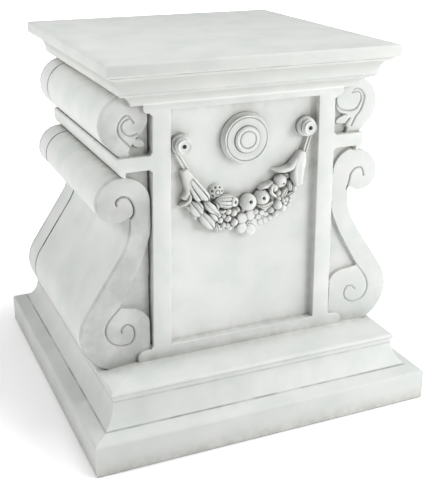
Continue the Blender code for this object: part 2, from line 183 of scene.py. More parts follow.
def remeshed(obj, voxel, smoothing=2):
    """Fuse overlapping closed forms into one skin, then soften it as a mould does."""
    fuse = obj.modifiers.new("Fuse", "REMESH")
    fuse.mode = "VOXEL"
    fuse.voxel_size = voxel * MM
    fuse.adaptivity = 0
    with_modifiers(obj)
    bm = bmesh.new()
    bm.from_mesh(obj.data)
    for _ in range(smoothing):
        bmesh.ops.smooth_vert(bm, verts=bm.verts, factor=0.5, use_axis_x=True, use_axis_y=True,
                              use_axis_z=True)
    bm.to_mesh(obj.data)
    bm.free()
    return obj


# %% Where shade is painted
def shade_creases(bm, creases, measure, kind="crease_shade", reach=1.0):
    """Paint shade near creases (a, b, amount) in the two measures of each point, as an attribute."""
    crease_shade = bm.verts.layers.float.new(kind)
    for vert in bm.verts:
        a, b = measure(vert.co)
        vert[crease_shade] = max(amount * math.exp(-((math.hypot(a - u, b - v) / reach) ** 2))
                         for u, v, amount in creases)


def shade_hollows(obj, from_bend, to_bend, dark):
    """Paint shade where a fine mesh bends inward: there the neighbours of a point lie above it."""
    bm = bmesh.new()
    bm.from_mesh(obj.data)
    crease_shade = bm.verts.layers.float.new("crease_shade")
    amount = []
    for vert in bm.verts:
        around = [edge.other_vert(vert).co for edge in vert.link_edges]
        middle = sum(around, Vector()) / len(around)
        bend = (middle - vert.co).dot(vert.normal) / (around[0] - vert.co).length
        amount.append(min(1, max(0, (bend - from_bend) / (to_bend - from_bend))))
    bm.verts.index_update()
    for vert in bm.verts:
        near = [amount[edge.other_vert(vert).index] for edge in vert.link_edges]
        vert[crease_shade] = dark * (max(amount[vert.index], *near) + sum(near) / len(near)) / 2
    bm.to_mesh(obj.data)
    bm.free()
    return obj


# %% Prisms and turned forms
def extruded(bm, outline, depth_from, depth_to):
    """Add a closed prism: an outline in X and Z that reaches between two depths toward the viewer."""
    verts = [bm.verts.new((x, -depth_from, z)) for x, z in outline]
    edges = [bm.edges.new(pair) for pair in zip(verts, verts[1:] + verts[:1])]
    base = bmesh.ops.contextual_create(bm, geom=edges)["faces"]
    made = bmesh.ops.extrude_face_region(bm, geom=base, use_keep_orig=True)["geom"]
    moved = [item for item in made if isinstance(item, bmesh.types.BMVert)]
    bmesh.ops.translate(bm, verts=moved, vec=(0, depth_from - depth_to, 0))


def turned(bm, profile, x, z, steps):
    """Add a form turned about an axis toward the viewer, from (radius, depth) points."""
    verts = [bm.verts.new((radius, -depth, 0)) for radius, depth in profile]
    edges = [bm.edges.new(pair) for pair in zip(verts, verts[1:])]
    bmesh.ops.spin(bm, geom=verts + edges, cent=(0, 0, 0), axis=(0, 1, 0), angle=2 * math.pi,
                   steps=steps, use_merge=True)
    bmesh.ops.translate(bm, verts=bm.verts, vec=(x, 0, z))


# %% [markdown]
# ## Mouldings
# Base slab, tier, core and cap are one square turning: a profile drawn on the diagonal and spun in four
# steps gives true mitred corners. The corners of a casting are worn round, so the mitres get a bevel.
# Painted shade lies as dark lines in the creases, and evenly under the cap, on its rim and on the base.

# %% Sizes of the mouldings
HEIGHT = 450
BASE_HALF, BASE_TOP, BASE_ROUND = 218, 38, 4
FOOT_HALF, FOOT_Z = 200, 44.2
NECK_HALF, NECK_Z = 185.8, 72
TIER_HALF, TIER_Z = 188, 81.5
SHELF_HALF, SHELF_Z = 137, 88.5
CORE_HALF = 112
CAP_HALF, CAP_UNDER, CAP_ROUND = 176, 435.4, 3
COVE_HALF, COVE_TOP = 168, 431.3
LIP_HALF, LIP_Z = 157.6, 413.5
BED_TOP_HALF, BED_TOP_Z = 154.5, 411.2
BED_HALF, BED_Z = 139.2, 397.3
CORNER_ROUND, WORN_FROM = 0.8, 130
# Painted shade along the creases of the profile: (half width, height, amount)
CREASES = [(COVE_HALF + 2.6, CAP_UNDER - 0.2, 0.6), (LIP_HALF, LIP_Z, 0.3), (BED_TOP_HALF, BED_TOP_Z, 0.35),
           (BED_HALF - 1.6, BED_Z, 0.9), (TIER_HALF - 0.3, TIER_Z - 2.4, 0.25), (NECK_HALF, NECK_Z, 0.3),
           (FOOT_HALF, FOOT_Z, 0.6)]
# An even painted shade under the cap, on the cap's rim and on the base: (half width, height, amount)
UNDERSIDE_SHADE = [(COVE_HALF - 3, CAP_UNDER - 11, 0.55), (BED_HALF + 8, BED_Z + 7, 0.4), (CAP_HALF, HEIGHT - 7, 0.3),
        (BASE_HALF, BASE_TOP - 4, 0.1), (BASE_HALF, 2, 0.1)]
UNDERSIDE_SHADE_REACH, TOP_RIM = 9, 12


# %% Make the mouldings
def moulding_profile():
    """Half-width and height from the middle of the top to the middle of the underside."""
    points = [(0, HEIGHT), (CAP_HALF - TOP_RIM, HEIGHT)]
    points += arc(CAP_HALF - CAP_ROUND, HEIGHT - CAP_ROUND, CAP_ROUND, CAP_ROUND, 90, 0, 5)
    points += arc(CAP_HALF - CAP_ROUND, CAP_UNDER + CAP_ROUND, CAP_ROUND, CAP_ROUND, 0, -90, 5)
    points += bow((COVE_HALF + 2.6, CAP_UNDER - 0.2), (COVE_HALF + 0.4, COVE_TOP + 0.8), 0.7, 3)
    points += arc(COVE_HALF, LIP_Z + 0.8, COVE_HALF - LIP_HALF, COVE_TOP - LIP_Z - 0.8, 90, 176, 14)
    points += bow((LIP_HALF, LIP_Z), (BED_TOP_HALF + 0.8, BED_TOP_Z + 0.2), -0.5, 3)
    points += bow((BED_TOP_HALF, BED_TOP_Z), (BED_HALF, BED_Z + 1.4), -2.6, 12)
    points += [(BED_HALF - 0.4, BED_Z + 0.2), (BED_HALF - 1.6, BED_Z)]
    points += [(CORE_HALF, BED_Z - 0.4), (CORE_HALF, SHELF_Z + 2)]
    points += [(SHELF_HALF, SHELF_Z), (TIER_HALF - 5, TIER_Z + 2.8)]
    points += bow((TIER_HALF - 3.4, TIER_Z + 2.5), (TIER_HALF, TIER_Z - 1), 1.1, 4)
    points += bow((TIER_HALF - 0.3, TIER_Z - 2.4), (NECK_HALF, NECK_Z), -0.7, 4)
    points += bow((NECK_HALF, NECK_Z), (FOOT_HALF, FOOT_Z), -3, 20)[1:]
    points += [(FOOT_HALF + 1.2, FOOT_Z - 0.9)]
    points += arc(BASE_HALF - BASE_ROUND, BASE_TOP - BASE_ROUND / 2, BASE_ROUND, BASE_ROUND, 76, 0, 5)
    points += [(BASE_HALF, 1.6), (BASE_HALF - 0.5, 0.4), (BASE_HALF - 1.6, 0), (0, 0)]
    return points


bm = bmesh.new()
profile = [bm.verts.new((half, half, z)) for half, z in moulding_profile()]
lines = [bm.edges.new(pair) for pair in zip(profile, profile[1:])]
bmesh.ops.spin(bm, geom=profile + lines, cent=(0, 0, 0), axis=(0, 0, 1), angle=2 * math.pi,
               steps=4, use_merge=True)
bmesh.ops.remove_doubles(bm, verts=bm.verts, dist=0.01)
mitres = [edge for edge in bm.edges
          if all(abs(abs(v.co.x) - abs(v.co.y)) < 0.01 and abs(v.co.x) > WORN_FROM for v in edge.verts)
          and edge.calc_length() > 0.01]
bmesh.ops.bevel(bm, geom=mitres, offset=CORNER_ROUND, segments=3, affect="EDGES", profile=0.5,
                material=-1, clamp_overlap=True)
shade_creases(bm, CREASES, lambda co: (max(abs(co.x), abs(co.y)), co.z))
shade_creases(bm, UNDERSIDE_SHADE, lambda co: (max(abs(co.x), abs(co.y)), co.z), "underside_shade", UNDERSIDE_SHADE_REACH)
finished(to_object("mouldings", bm), 30)


# %% [markdown]
# ## Framed plate
# Front and back carry a flat plate with quarter-round ears, a sunk panel, and cross arms whose ends
# roll over. The plate runs through from front to back, so the rolls show on the sides too. It is one
# outline pushed to the full depth, with the two panels cut out and all its edges softened.

# %% Sizes of the plate
PLATE_DEPTH, PANEL_DEPTH, CUT_DEPTH = 138.2, 128, 150
STRIP_TOP_HALF, STRIP_LOW_HALF = 114.2, 119.2
EAR_TOP_HALF, EAR_TOP_Z = 124.8, 388
EAR_LOW_HALF, EAR_LOW_Z = 138.4, 102.3
ARM_LOW, ARM_TOP, ROLL_HALF = 324.5, 340.8, 156.4
PANEL_TOP, PANEL_LOW = 390.3, 104
PANEL_TOP_HALF, PANEL_LOW_HALF = 92.8, 96.6
VOLUTE_X, VOLUTE_Z, VOLUTE_R = 151, 288, 30
FILLET = 2.5
PLATE_SOFT = 1.0


# %% Make the plate
def plate_outline():
    batter = (STRIP_LOW_HALF - STRIP_TOP_HALF) / (EAR_TOP_Z - EAR_LOW_Z)
    under_arm = STRIP_LOW_HALF - batter * (ARM_LOW - EAR_LOW_Z)
    over_arm = STRIP_LOW_HALF - batter * (ARM_TOP - EAR_LOW_Z)
    right = [(EAR_LOW_HALF, SHELF_Z - 4)]
    right += arc(EAR_LOW_HALF - 11, EAR_LOW_Z - 8, 11, 8, 0, 90, 10)
    right += bow((STRIP_LOW_HALF + FILLET, EAR_LOW_Z), (STRIP_LOW_HALF, EAR_LOW_Z + FILLET), -0.7, 3)
    right += bow((under_arm, ARM_LOW - FILLET), (under_arm + FILLET, ARM_LOW), -0.7, 3)
    right += [(VOLUTE_X - 4.5, ARM_LOW), (VOLUTE_X - 4.5, VOLUTE_Z + VOLUTE_R + 0.6)]
    right += arc(145.4, 331, ROLL_HALF - 145.4, 12.6, -72, 0, 12)
    right += arc(ROLL_HALF - 3, ARM_TOP - 3, 3, 3, 0, 90, 6)
    right += bow((over_arm + FILLET, ARM_TOP), (over_arm, ARM_TOP + FILLET), -0.7, 3)
    right += bow((STRIP_TOP_HALF, EAR_TOP_Z - FILLET), (STRIP_TOP_HALF + FILLET, EAR_TOP_Z), -0.7, 3)
    right += arc(EAR_TOP_HALF - 6, EAR_TOP_Z + 6, 6, 6, -84, 0, 8)
    right += [(EAR_TOP_HALF, BED_Z + 4)]
    return both_sides(right)


bm = bmesh.new()
extruded(bm, plate_outline(), -PLATE_DEPTH, PLATE_DEPTH)
plate = to_object("plate", bm)

bm = bmesh.new()
window = both_sides([(PANEL_LOW_HALF, PANEL_LOW), (PANEL_TOP_HALF, PANEL_TOP)])
extruded(bm, window, PANEL_DEPTH, CUT_DEPTH)
extruded(bm, window, -PANEL_DEPTH, -CUT_DEPTH)
sinking = to_object("sinking", bm)
cut = plate.modifiers.new("Panels", "BOOLEAN")
cut.operation = "DIFFERENCE"
cut.solver = "EXACT"
cut.object = sinking
soft = plate.modifiers.new("Soft edges", "BEVEL")
soft.width = PLATE_SOFT * MM
soft.segments = 3
soft.limit_method = "ANGLE"
soft.angle_limit = math.radians(40)
soft.use_clamp_overlap = False
with_modifiers(plate)
bpy.data.objects.remove(sinking)
finished(plate, 40)


# %% [markdown]
# ## Consoles
# Each side has a drum above and a great scroll below. Their faces are carved, and behind the faces they
# run straight back to a groove, where the mould was parted. Each half is made as one closed skin.
# A face has three levels: the scroll, a ground 5 mm lower, and a deep slot beside the plate. Remeshed in
# one-millimetre voxels they become a single skin with soft edges. The carver cut left and right by eye,
# so their lines differ, and each side has its own drawing.

# %% Sizes of the consoles
FACE_DEPTH, GROUND_DEPTH, SLOT_DEPTH, CARVED_TO, HIDDEN_X = 134, 129, 119, 116.8, 104
DRUM_X, DRUM_Z, DRUM_R = 141.7, 376, 32
TAIL_X, TAIL_Z = 152.3, 341.4
CURL_X, CURL_R = 159, 22
CUSP_X, CUSP_Z = 141, 270.8
BACK_X, BACK_Z, BACK_R = 221, 265.8, 80
BELLY_X, BELLY_Z, BELLY_R = 158.2, 130, 48
SLOT_WIDE, SLOT_LOW_WIDE = 3.8, 2.2
SLOT_ROOT, GROUND_ROOT, FACE_ROOT = 101, 110, 114
DISC_SIDE_Z = 135
SEAM_AT = 93.3
# Rings of the parting groove: how far back, how far pressed in, and how much painted shade they take
SEAM_STEPS = ((2.5, 0, 0), (1.6, 0.25, 0.6), (1.3, 1.1, 1), (0.7, 1.6, 1), (0, 1.6, 1))
FACE_VOXEL = 1.0


# %% Outlines of the consoles
def round_arc(x, z, radius, start, end, steps):
    return arc(x, z, radius, radius, start, end, steps)


DRUM_EDGE = round_arc(DRUM_X, DRUM_Z, DRUM_R, 80, -45, 40) + [(TAIL_X, TAIL_Z), (TAIL_X - 5, TAIL_Z - 8)]
SCROLL_EDGE = (round_arc(VOLUTE_X, VOLUTE_Z, VOLUTE_R, 96, 0, 28)
               + round_arc(CURL_X, VOLUTE_Z, CURL_R, 0, -130, 32)[1:] + [(CUSP_X, CUSP_Z)]
               + round_arc(BACK_X, BACK_Z, BACK_R, 180, 214, 16)
               + round_arc(BELLY_X, BELLY_Z, BELLY_R, 34, -68, 34))
FOOT = [(BELLY_X + 8, SHELF_Z - 8)]


def drum_shape(inner):
    return inner + [(140, BED_Z + 8)] + DRUM_EDGE


def scroll_shape(inner):
    return inner + [(VOLUTE_X - 5, ARM_LOW + 7)] + SCROLL_EDGE + FOOT


drum_outline = drum_shape([(HIDDEN_X, TAIL_Z - 8), (HIDDEN_X, BED_Z + 5)])
scroll_outline = scroll_shape([(HIDDEN_X, SHELF_Z - 8), (HIDDEN_X, ARM_LOW + 7)])
slot_top, slot_low = STRIP_TOP_HALF + SLOT_WIDE, STRIP_LOW_HALF + SLOT_LOW_WIDE
drum_ground = drum_shape([(slot_top, TAIL_Z - 8), (slot_top, BED_Z + 5)])
scroll_ground = scroll_shape([(slot_low, SHELF_Z - 8), (slot_low, EAR_LOW_Z), (slot_top, ARM_LOW + 7)])

# %% Inner edges of the raised scrolls, from top to bottom
LEAF = {
    1: [(118.5, 388), (118.7, 377), (119.3, 371.5), (122, 367.6), (127, 365), (131.5, 363.6), (128, 362),
        (124, 361.2), (120.4, 359), (119, 356), (120.4, 353.4), (126, 352.8), (131.5, 353), (133, 349.5),
        (134.8, 346.8), (133.6, 343.5), (132.4, 336.8)],
    -1: [(118.2, 388), (119, 385), (119, 377), (122, 372), (126, 367.5), (131.5, 363.6), (129.5, 361.4),
         (126, 358.5), (123.5, 355.5), (122.5, 352.5), (124.5, 350.8), (130, 350.2), (134, 352),
         (137, 355), (139.6, 352), (140.6, 347), (141.6, 336.8)],
}
BAND = {
    1: through([(147, 318), (142, 320.6), (136, 318.6), (128, 313.6), (121.4, 305.5), (118.8, 297),
                (117.6, 284), (117.6, 262), (119.6, 243), (123.8, 232), (131.8, 215), (139.8, 200),
                (148.8, 185), (158.4, 168.6), (161.4, 163.8)], 4)
    + through([(158.4, 163), (152, 162), (140, 161), (131, 158.5), (123.6, 153), (121, 146)], 4),
    -1: through([(147, 318), (139, 316), (130, 311), (122.5, 303), (118.6, 294), (117.4, 284),
                 (117.4, 262), (119, 247), (124, 232), (130, 215), (138, 200), (146, 185), (153, 172),
                 (158.4, 163.4)], 4)
    + through([(156, 161.4), (150, 160.2), (140, 158), (130, 152), (123, 143), (121.4, 136)], 4),
}
print("edge points", {side: len(BAND[side]) for side in BAND})


# %% [markdown]
# ## Carved lines
# A line is a row of points with its half width and its depth in millimetres, and how much painted shade it
# holds. A line without depth is only painted shade, where a step already makes the edge. Lines are pressed
# into the skin after its mesh is refined beside them, and each point keeps how close its line is, for the
# painted shade.

# %% Lines of the right and the left face
LINES = {
    1: [
        ([(119, 377), (121, 373), (126, 370), (133, 368.5), (141, 368), (147, 371), (151, 377),
          (152, 383), (150, 388), (146, 390), (139, 389.5)], 0.7, 1.5, 0.5),
        ([(141, 392.5), (146, 393.5), (152, 391), (156, 385), (156.5, 380), (154, 371), (151, 365),
          (147, 361), (144, 356), (140.5, 349)], 0.7, 1.6, 0.5),
        ([(128, 364.4), (132, 363.3)], 0.9, 1.5, 0.9),
        ([(137.5, 358), (133.5, 353.4), (132.2, 350)], 0.8, 1.8, 0.7),
        ([(134.5, 347.5), (133.2, 343), (132.4, 341.5)], 0.9, 1.8, 0.9),
        ([(120.6, 353), (126, 352.2), (131.5, 352.6)], 0.6, 0, 0.5),
        ([(119, 342), (130, 341.4), (152, 341.2)], 0.8, 0.6, 0.7),
        ([(139.5, 270), (142.5, 280), (143.5, 287), (147, 292), (152, 295), (158, 294.5), (161, 290),
          (162.5, 284)], 0.75, 1.8, 0.55),
        ([(139, 269), (140.6, 273)], 0.9, 1, 0.9),
        ([(118, 243), (122, 232), (130, 215), (138, 200), (147, 185), (157, 168.5)], 0.55, 0, 0.55),
        ([(158, 168.5), (168, 155), (175, 145), (179, 133), (177, 122), (171, 115), (163, 112.5),
          (158, 112)], 0.75, 1.4, 0.5),
        ([(160, 130), (156, 134), (151, 136), (147, 134), (144.5, 127), (146, 120), (151, 115),
          (157, 112.5)], 0.7, 1.4, 0.45),
        ([(142, 322.6), (148, 321), (155, 319)], 0.9, 0.3, 0.9),
    ],
    -1: [
        ([(135, 379), (139, 385), (143, 387), (148, 384), (152, 378), (153, 371), (151, 365),
          (146, 359), (142, 355), (139, 350)], 0.75, 1.8, 0.7),
        ([(138, 384), (143, 382.6), (147, 380), (149, 376), (148, 371), (145, 367), (141, 365),
          (137, 364.5), (131, 366)], 0.7, 1.6, 0.65),
        ([(130, 361.6), (132, 361)], 1.0, 1.5, 1),
        ([(136.4, 355), (134, 351.6), (130, 349.8), (124, 350.2)], 0.8, 0.4, 0.8),
        ([(140.5, 348), (141.5, 345.5)], 0.8, 1, 0.8),
        ([(157.5, 287), (158, 291), (155, 294.5), (150, 296), (144, 294), (139.5, 288), (137.5, 281),
          (138, 274), (141, 269.6)], 0.9, 2.2, 0.9),
        ([(143, 292.5), (139, 286), (137.6, 280), (138.2, 273.5), (141, 269.4)], 1.5, 1, 0.8),
        ([(157, 163), (163, 157), (170, 150), (175, 142), (176.5, 133), (174, 124), (168, 117),
          (160, 113), (152, 112.6), (147, 113.4)], 0.75, 1.6, 0.6),
        ([(157, 130), (157, 134), (153, 138), (149, 138.5), (144, 135), (141.5, 129), (142, 121),
          (146, 114)], 0.75, 1.6, 0.65),
        ([(149, 159.6), (140, 157), (130.6, 151), (124, 142.6), (121.8, 136)], 0.55, 0, 0.35),
        (round_arc(BELLY_X, BELLY_Z, BELLY_R - 0.8, 30, -66, 8), 0.8, 0, 0.5),
        (round_arc(BACK_X, BACK_Z, BACK_R + 0.8, 180, 214, 4), 0.6, 0, 0.35),
    ],
}


# %% Press the lines into a face
REFINE = 2.4
LINES_FROM = GROUND_DEPTH - 1.5
RAISED_FROM = FACE_DEPTH - 2.5
EDGE_SOFT = 0.3
# Painted shade over each whole raised face, heavier on the left face so that it reads darker than the right
FACE_SHADE = {1: 0.07, -1: 0.29}


def line_search(lines):
    """A search tree over close points of some lines, with the measures of the line of each."""
    rows = [(spot, measures) for points, *measures in lines for spot in through(points, 30)]
    tree = KDTree(len(rows))
    for i, ((x, z), _) in enumerate(rows):
        tree.insert((x, 0, z), i)
    tree.balance()
    return tree, rows


def carve(bm, lines, face_shade):
    """Refine a face near its lines, press them in and keep their painted shade as an attribute of its
    points.
    """
    tree, rows = line_search(lines)

    def nearest(vert):
        _, i, away = tree.find((vert.co.x / MM, 0, vert.co.z / MM))
        return away, *rows[i][1]

    close = {v for v in bm.verts if v.co.y < -LINES_FROM * MM and nearest(v)[0] < REFINE}
    edges = [e for e in bm.edges if e.verts[0] in close and e.verts[1] in close]
    bmesh.ops.subdivide_edges(bm, edges=edges, cuts=1, use_grid_fill=True)
    crease_shade = bm.verts.layers.float.new("crease_shade")
    for vert in bm.verts:
        depth = -vert.co.y / MM
        if depth < LINES_FROM:
            continue
        away, wide, deep, dark = nearest(vert)
        vert[crease_shade] = max(face_shade, dark * math.exp(-((away / wide) ** 2)))
        if depth > RAISED_FROM:
            vert.co.y += deep * MM * math.exp(-((away / (wide + EDGE_SOFT)) ** 2))


# %% Run the faces back to the groove
def run_back(bm, sign):
    """Run the open end of a carved face along Y to the groove, ring by ring, and close it there."""
    crease_shade = bm.verts.layers.float["crease_shade"]
    bm.normal_update()
    edges = [edge for edge in bm.edges if edge.is_boundary]
    outward = {vert: vert.normal * sign for edge in edges for vert in edge.verts}
    pressed = 0
    for away, deep, dark in SEAM_STEPS:
        made = bmesh.ops.extrude_edge_only(bm, edges=edges)["geom"]
        ring = {item for item in made if isinstance(item, bmesh.types.BMVert)}
        for vert in ring:
            before = [edge.other_vert(vert) for edge in vert.link_edges]
            outward[vert] = next(outward[old] for old in before if old not in ring)
            vert.co -= outward[vert] * (deep - pressed) * MM
            vert.co.y = (SEAM_AT - sign * away) * MM
            # the groove's rings take painted shade
            vert[crease_shade] = dark
        pressed = deep
        edges = [item for item in made if isinstance(item, bmesh.types.BMEdge) and item.is_boundary]
    bmesh.ops.holes_fill(bm, edges=edges, sides=0)


# %% Make the four console halves
for side, word in ((1, "right"), (-1, "left")):
    bm = bmesh.new()
    drum_raised = drum_shape(LEAF[side][::-1] + [(HIDDEN_X, EAR_TOP_Z), (HIDDEN_X, BED_Z + 5)])
    low = EAR_LOW_Z + 4
    scroll_raised = scroll_shape([(HIDDEN_X, SHELF_Z - 8), (HIDDEN_X, low), (slot_low, low),
                                  (slot_low, DISC_SIDE_Z)] + BAND[side][::-1])
    for outline, ground, raised in ((drum_outline, drum_ground, drum_raised),
                                    (scroll_outline, scroll_ground, scroll_raised)):
        extruded(bm, outline, SLOT_ROOT, SLOT_DEPTH)
        extruded(bm, ground, GROUND_ROOT, GROUND_DEPTH)
        extruded(bm, raised, FACE_ROOT, FACE_DEPTH)
    face = remeshed(to_object("console face", bm), FACE_VOXEL, 1)

    bm = bmesh.new()
    bm.from_mesh(face.data)
    bpy.data.objects.remove(face)
    bmesh.ops.bisect_plane(bm, geom=bm.verts[:] + bm.edges[:] + bm.faces[:], dist=0.000001,
                           plane_co=(0, -CARVED_TO * MM, 0), plane_no=(0, 1, 0), clear_outer=True)
    carve(bm, LINES[side], FACE_SHADE[side])
    back = bm.copy()
    bmesh.ops.scale(back, verts=back.verts, vec=(1, -1, 1))
    for half, sign, place in ((bm, 1, "front"), (back, -1, "back")):
        run_back(half, sign)
        bmesh.ops.scale(half, verts=half.verts, vec=(side, 1, 1))
        finished(to_object(place + "_console_" + word, half, 1), 50)


# %% [markdown]
# ## Boss and ring knobs
# The round boss and the two ring knobs are turned forms, so each is a profile spun about an axis toward
# the viewer. Their small steps get painted shade in their creases, and every step has a rounded lip.

# %% Boss and knobs
BOSS_X, BOSS_Z = 0.4, 347.2
ROOT_DEPTH = 125
BOSS_STEPS, KNOB_STEPS = 96, 48
KNOBS = {-1: (-79.6, 348.6), 1: (78.9, 354.2)}
# Painted shade at the creases of the boss and the knobs: (radius, depth, amount)
BOSS_CREASES = [(30.4, PANEL_DEPTH, 0.9), (25.4, PANEL_DEPTH + 8.1, 0.5), (15.6, PANEL_DEPTH + 8.8, 0.5),
                (9.8, PANEL_DEPTH + 10.9, 0.4)]
KNOB_CREASES = [(11.8, PANEL_DEPTH, 0.8), (7.8, ROOT_DEPTH + 11.6, 0.9), (7.8, ROOT_DEPTH + 13, 0.8),
                (1.8, ROOT_DEPTH + 16.4, 1), (0, ROOT_DEPTH + 14, 1)]


def boss_profile():
    front = PANEL_DEPTH + 9
    points = [(0, ROOT_DEPTH), (30.6, ROOT_DEPTH), (30.5, PANEL_DEPTH), (30.4, PANEL_DEPTH + 1)]
    points += bow((30.2, PANEL_DEPTH + 2.4), (27.4, front), 1, 5)
    points += [(26.6, front), (26.0, front - 0.35), (25.4, front - 0.9), (24.8, front - 0.35), (24.2, front)]
    points += [(17, front), (16.3, front - 0.2), (15.8, front - 0.5), (15.5, front + 0.3)]
    points += bow((15.3, front + 1.6), (13.8, front + 2.9), 0.5, 4)
    points += [(11.2, front + 2.9), (10.4, front + 2.3), (9.9, front + 1.9), (9.4, front + 2.4)]
    points += [(8.7, front + 3), (4, front + 3.2), (0, front + 3.3)]
    return points


def knob_profile():
    back = ROOT_DEPTH
    points = [(0, back), (11.8, back), (11.8, back + 3), (11.7, back + 8)]
    points += bow((11.6, back + 9.4), (9.4, back + 12.4), 1.1, 5)
    points += [(8.4, back + 12.2), (7.8, back + 11.6), (7.8, back + 13.4), (8.6, back + 14)]
    points += bow((9.7, back + 15), (7.6, back + 20.4), 1.5, 8)
    points += bow((7.6, back + 20.4), (2.7, back + 19.6), 0.9, 6)[1:] + [(2.2, back + 17), (0, back + 14)]
    return points


bm = bmesh.new()
turned(bm, boss_profile(), BOSS_X, BOSS_Z, BOSS_STEPS)
shade_creases(bm, BOSS_CREASES, lambda co: (math.hypot(co.x - BOSS_X, co.z - BOSS_Z), -co.y))
finished(to_object("boss", bm), 30)
for side, (x, z) in KNOBS.items():
    bm = bmesh.new()
    turned(bm, knob_profile(), x, z, KNOB_STEPS)
    shade_creases(bm, KNOB_CREASES, lambda co: (math.hypot(co.x - x, co.z - z), -co.y))
    finished(to_object("left_knob" if side < 0 else "right_knob", bm), 30)


# %% [markdown]
# ## Garland
# Fruit, blossoms, berries and leaves hang between two bell-flowers. A carver would cut them from one
# block, so they are heaped up here as overlapping closed forms and fused into one skin by small voxels.
# Leaves and petals are spheres drawn out along a bent midline, with a width and a depth at each station
# and a crease or a ridge along the middle. Steep edges keep the forms apart as carving does.

# %% Leaves and petals
def between(stations, share):
    """Smooth values at a share of the way along stations of (x, z, width, front depth)."""
    place = share * (len(stations) - 1)
    i = min(int(place), len(stations) - 2)
    return along(stations, i, place - i)


def blade(bm, stations, crease=0.0, crease_at=0.0, thick=5.0, flat=0.45, sides=28, rings=36):
    """A leaf or petal along its stations; a negative crease is a ridge, a low flat has crisp edges."""
    made = {}
    for vert in bmesh.ops.create_uvsphere(bm, u_segments=sides, v_segments=rings, radius=1)["verts"]:
        share = round(1 - math.acos(max(-1, min(1, vert.co.z))) / math.pi, 5)
        if share not in made:
            way = (between(stations, min(1, share + 0.02)) - between(stations, max(0, share - 0.02))).xy
            made[share] = between(stations, share), Vector((-way.y, way.x)).normalized()
        (x, z, width, front), across = made[share]
        around = vert.co.xy.normalized() if vert.co.xy.length > 1e-6 else Vector((0, 0))
        end = min(1, min(share, 1 - share) / 0.1) ** 0.5
        u = math.copysign(abs(around.x) ** 0.8, around.x)
        lift = abs(around.y) ** flat * end
        edge = front - thick
        if around.y > 0:
            lift *= 1 - crease * math.exp(-(((u - crease_at) / 0.14) ** 2))
            depth = edge + thick * lift
        else:
            depth = edge - (edge - ROOT_DEPTH) * lift
        spot = Vector((x, z)) + across * u * width / 2 * end
        vert.co = (spot.x, -depth, spot.y)


LEFT_FLOWER = [
    (((-78, 320, 7, 136.5), (-74.5, 313, 11, 138), (-71, 306, 15, 139.5), (-67, 299, 17, 140),
      (-64, 293, 14, 138)), 0, 0, 6),
    (((-70.5, 310, 7, 140), (-64, 300.5, 10, 142), (-57.5, 292, 11, 143), (-52.5, 285.5, 10, 143),
      (-49.5, 280.5, 5, 141.5)), 0.4, 0.2, 5),
    (((-71, 303.5, 6, 140), (-66.5, 295.5, 9, 141.5), (-62.5, 289, 10.5, 142), (-59.8, 284.6, 10, 141.5),
      (-58, 281, 6, 140.5)), 0.3, 0, 5),
    (((-76.5, 310, 5, 137), (-74, 302, 6.5, 138), (-72.2, 294.5, 6.5, 139), (-73.5, 288, 8.5, 138.5),
      (-76.5, 282, 12, 136.5)), 0, 0, 6),
    (((-83, 275.4, 2, 135), (-79.6, 277.6, 3.2, 138), (-75, 280, 3.6, 140), (-71.4, 284.2, 3.6, 141),
      (-70.6, 291.5, 2.5, 140)), 0, 0, 5),
]
RIGHT_FLOWER = [
    (((74.5, 325.5, 8, 137), (73, 319, 13, 139), (70.5, 311.5, 17, 140.5), (68, 304, 17, 141)), 0, 0, 8),
    (((69, 318, 7, 139), (63.5, 311, 9, 140.5), (56.5, 306.4, 7, 141.5), (47, 304.6, 5.5, 141),
      (40, 304.8, 4, 138), (34.5, 306.2, 1.5, 134)), 0, 0, 7, 0.6),
    (((71, 316, 9, 140), (68.6, 308, 14.5, 142), (67, 299, 14.5, 143), (67.6, 290.5, 12, 143),
      (69.4, 283.4, 9, 142)), 0.3, -0.16, 6),
    (((59.6, 290, 3, 134), (59.8, 283, 6, 136), (61.5, 275.5, 3, 133)), -0.2, 0, 5),
    (((63.5, 284.5, 3, 134), (66.2, 278.5, 5.5, 135.5), (67.2, 272.5, 3, 132)), -0.2, 0, 5),
]
